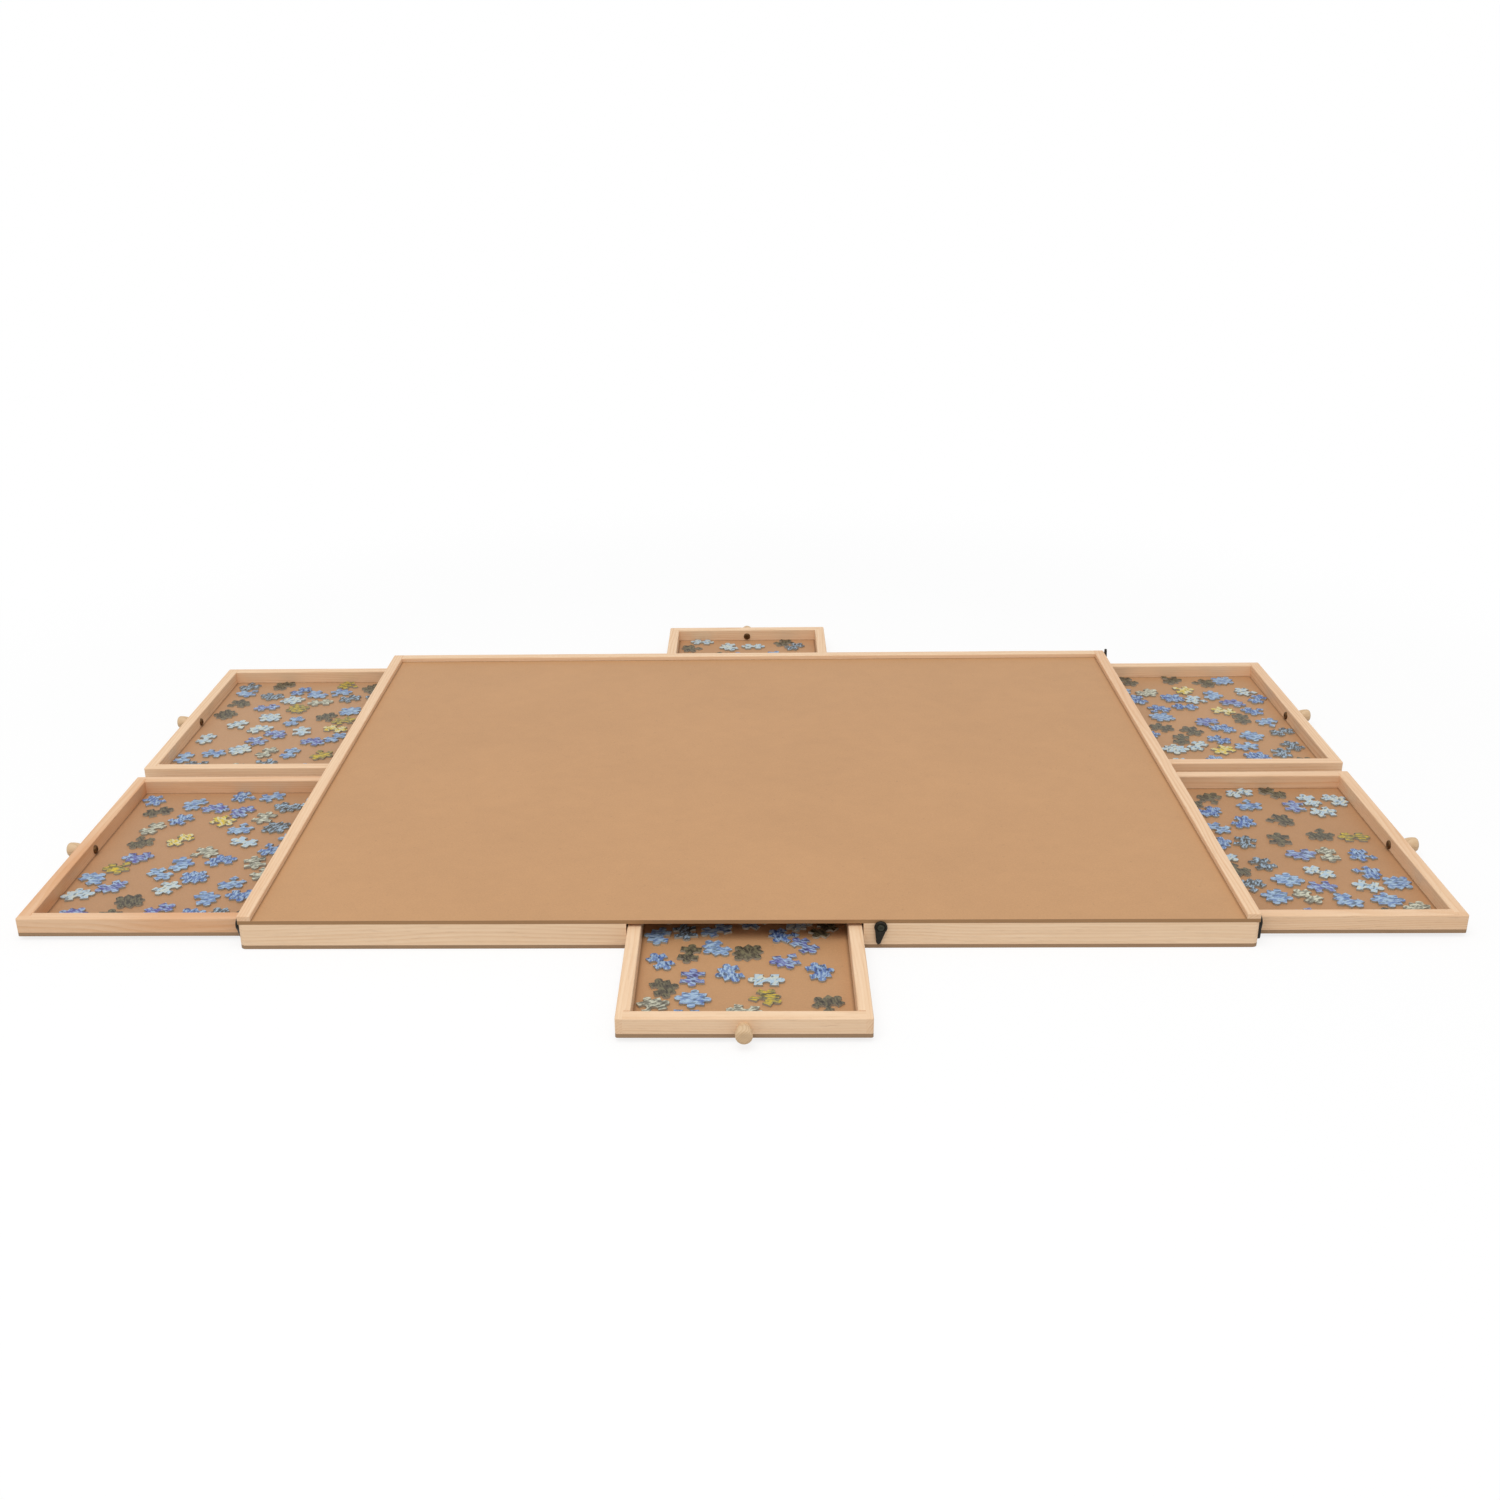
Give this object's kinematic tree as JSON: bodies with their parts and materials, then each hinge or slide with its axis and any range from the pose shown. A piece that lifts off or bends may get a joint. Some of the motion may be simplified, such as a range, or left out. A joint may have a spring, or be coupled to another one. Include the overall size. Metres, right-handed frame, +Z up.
{
  "type": "jigsaw puzzle storage case",
  "caption": "Flat wooden case topped by a rimmed puzzle board, with shallow drawers that slide out on every side for sorting pieces, turned knobs and turn-button latches.",
  "frame": {"origin": "middle of the case's underside, where it stands on a table", "axes": "+X to the right and +Y to the back for someone at the side of the case that has no rim, +Z up out of the puzzle board"},
  "size_m": [1.3126, 0.9981, 0.0372],
  "materials": {
    "case_pine": "planed, sealed pine, satin",
    "rim_pine": "planed, sealed pine, satin",
    "drawer_pine": "planed, sealed pine, satin",
    "knob_wood": "turned and sealed, satin",
    "deck_hardboard": "smooth hardboard, matt",
    "base_hardboard": "smooth hardboard, matt",
    "drawer_hardboard": "smooth hardboard, matt",
    "black_latch": "black paint, satin",
    "black_screw": "blackened steel",
    "bronze_screw": "dark bronze plating"
  },
  "bodies": {
    "case": {"base_board": "base_hardboard", "deck_board": "deck_hardboard", "front_rails": "case_pine", "back_rails": "case_pine", "drawer_guides": "case_pine", "side_dividers": "case_pine", "middle_stop": "case_pine", "rim_left": "rim_pine", "rim_right": "rim_pine", "rim_back": "rim_pine", "latch_screws": "black_screw"},
    "front_drawer": {"front_drawer_floor": "drawer_hardboard", "front_drawer_left_side": "drawer_pine", "front_drawer_right_side": "drawer_pine", "front_drawer_front_board": "drawer_pine", "front_drawer_back_board": "drawer_pine", "front_drawer_knob": "knob_wood", "front_drawer_knob_screw": "bronze_screw"},
    "back_drawer": {"back_drawer_floor": "drawer_hardboard", "back_drawer_left_side": "drawer_pine", "back_drawer_right_side": "drawer_pine", "back_drawer_front_board": "drawer_pine", "back_drawer_back_board": "drawer_pine", "back_drawer_knob": "knob_wood", "back_drawer_knob_screw": "bronze_screw"},
    "left_front_drawer": {"left_front_drawer_floor": "drawer_hardboard", "left_front_drawer_left_side": "drawer_pine", "left_front_drawer_right_side": "drawer_pine", "left_front_drawer_front_board": "drawer_pine", "left_front_drawer_back_board": "drawer_pine", "left_front_drawer_knob": "knob_wood", "left_front_drawer_knob_screw": "bronze_screw"},
    "left_back_drawer": {"left_back_drawer_floor": "drawer_hardboard", "left_back_drawer_left_side": "drawer_pine", "left_back_drawer_right_side": "drawer_pine", "left_back_drawer_front_board": "drawer_pine", "left_back_drawer_back_board": "drawer_pine", "left_back_drawer_knob": "knob_wood", "left_back_drawer_knob_screw": "bronze_screw"},
    "right_front_drawer": {"right_front_drawer_floor": "drawer_hardboard", "right_front_drawer_left_side": "drawer_pine", "right_front_drawer_right_side": "drawer_pine", "right_front_drawer_front_board": "drawer_pine", "right_front_drawer_back_board": "drawer_pine", "right_front_drawer_knob": "knob_wood", "right_front_drawer_knob_screw": "bronze_screw"},
    "right_back_drawer": {"right_back_drawer_floor": "drawer_hardboard", "right_back_drawer_left_side": "drawer_pine", "right_back_drawer_right_side": "drawer_pine", "right_back_drawer_front_board": "drawer_pine", "right_back_drawer_back_board": "drawer_pine", "right_back_drawer_knob": "knob_wood", "right_back_drawer_knob_screw": "bronze_screw"},
    "front_latch": {"front_latch": "black_latch"},
    "back_latch": {"back_latch": "black_latch"},
    "left_front_latch": {"left_front_latch": "black_latch"},
    "left_back_latch": {"left_back_latch": "black_latch"},
    "right_front_latch": {"right_front_latch": "black_latch"},
    "right_back_latch": {"right_back_latch": "black_latch"}
  },
  "joints": [
    {"name": "front_drawer_slide", "type": "slide", "parent": "case", "child": "front_drawer", "axis": [0, -1, 0], "range_m": [-0.1487, 0.1513]},
    {"name": "back_drawer_slide", "type": "slide", "parent": "case", "child": "back_drawer", "axis": [0, 1, 0], "range_m": [-0.1346, 0.1654]},
    {"name": "left_front_drawer_slide", "type": "slide", "parent": "case", "child": "left_front_drawer", "axis": [-1, 0, 0], "range_m": [-0.2048, 0.0952]},
    {"name": "left_back_drawer_slide", "type": "slide", "parent": "case", "child": "left_back_drawer", "axis": [-1, 0, 0], "range_m": [-0.2062, 0.0938]},
    {"name": "right_front_drawer_slide", "type": "slide", "parent": "case", "child": "right_front_drawer", "axis": [1, 0, 0], "range_m": [-0.1851, 0.1149]},
    {"name": "right_back_drawer_slide", "type": "slide", "parent": "case", "child": "right_back_drawer", "axis": [1, 0, 0], "range_m": [-0.1884, 0.1116]},
    {"name": "front_latch_turn", "type": "hinge", "parent": "case", "child": "front_latch", "pos_m": [0.118, -0.3429, 0.0209], "axis": [0, -1, 0], "range_deg": [-63.8, 266.2]},
    {"name": "back_latch_turn", "type": "hinge", "parent": "case", "child": "back_latch", "pos_m": [-0.118, 0.3429, 0.0209], "axis": [0, 1, 0], "range_deg": [-66, 264]},
    {"name": "left_front_latch_turn", "type": "hinge", "parent": "case", "child": "left_front_latch", "pos_m": [-0.4445, -0.334, 0.0209], "axis": [-1, 0, 0], "range_deg": [-7, 249]},
    {"name": "left_back_latch_turn", "type": "hinge", "parent": "case", "child": "left_back_latch", "pos_m": [-0.4445, 0.334, 0.0209], "axis": [-1, 0, 0], "range_deg": [-240, 16]},
    {"name": "right_front_latch_turn", "type": "hinge", "parent": "case", "child": "right_front_latch", "pos_m": [0.4445, -0.334, 0.0209], "axis": [1, 0, 0], "range_deg": [-226, 30]},
    {"name": "right_back_latch_turn", "type": "hinge", "parent": "case", "child": "right_back_latch", "pos_m": [0.4445, 0.334, 0.0209], "axis": [1, 0, 0], "range_deg": [-198, 58]}
  ]
}
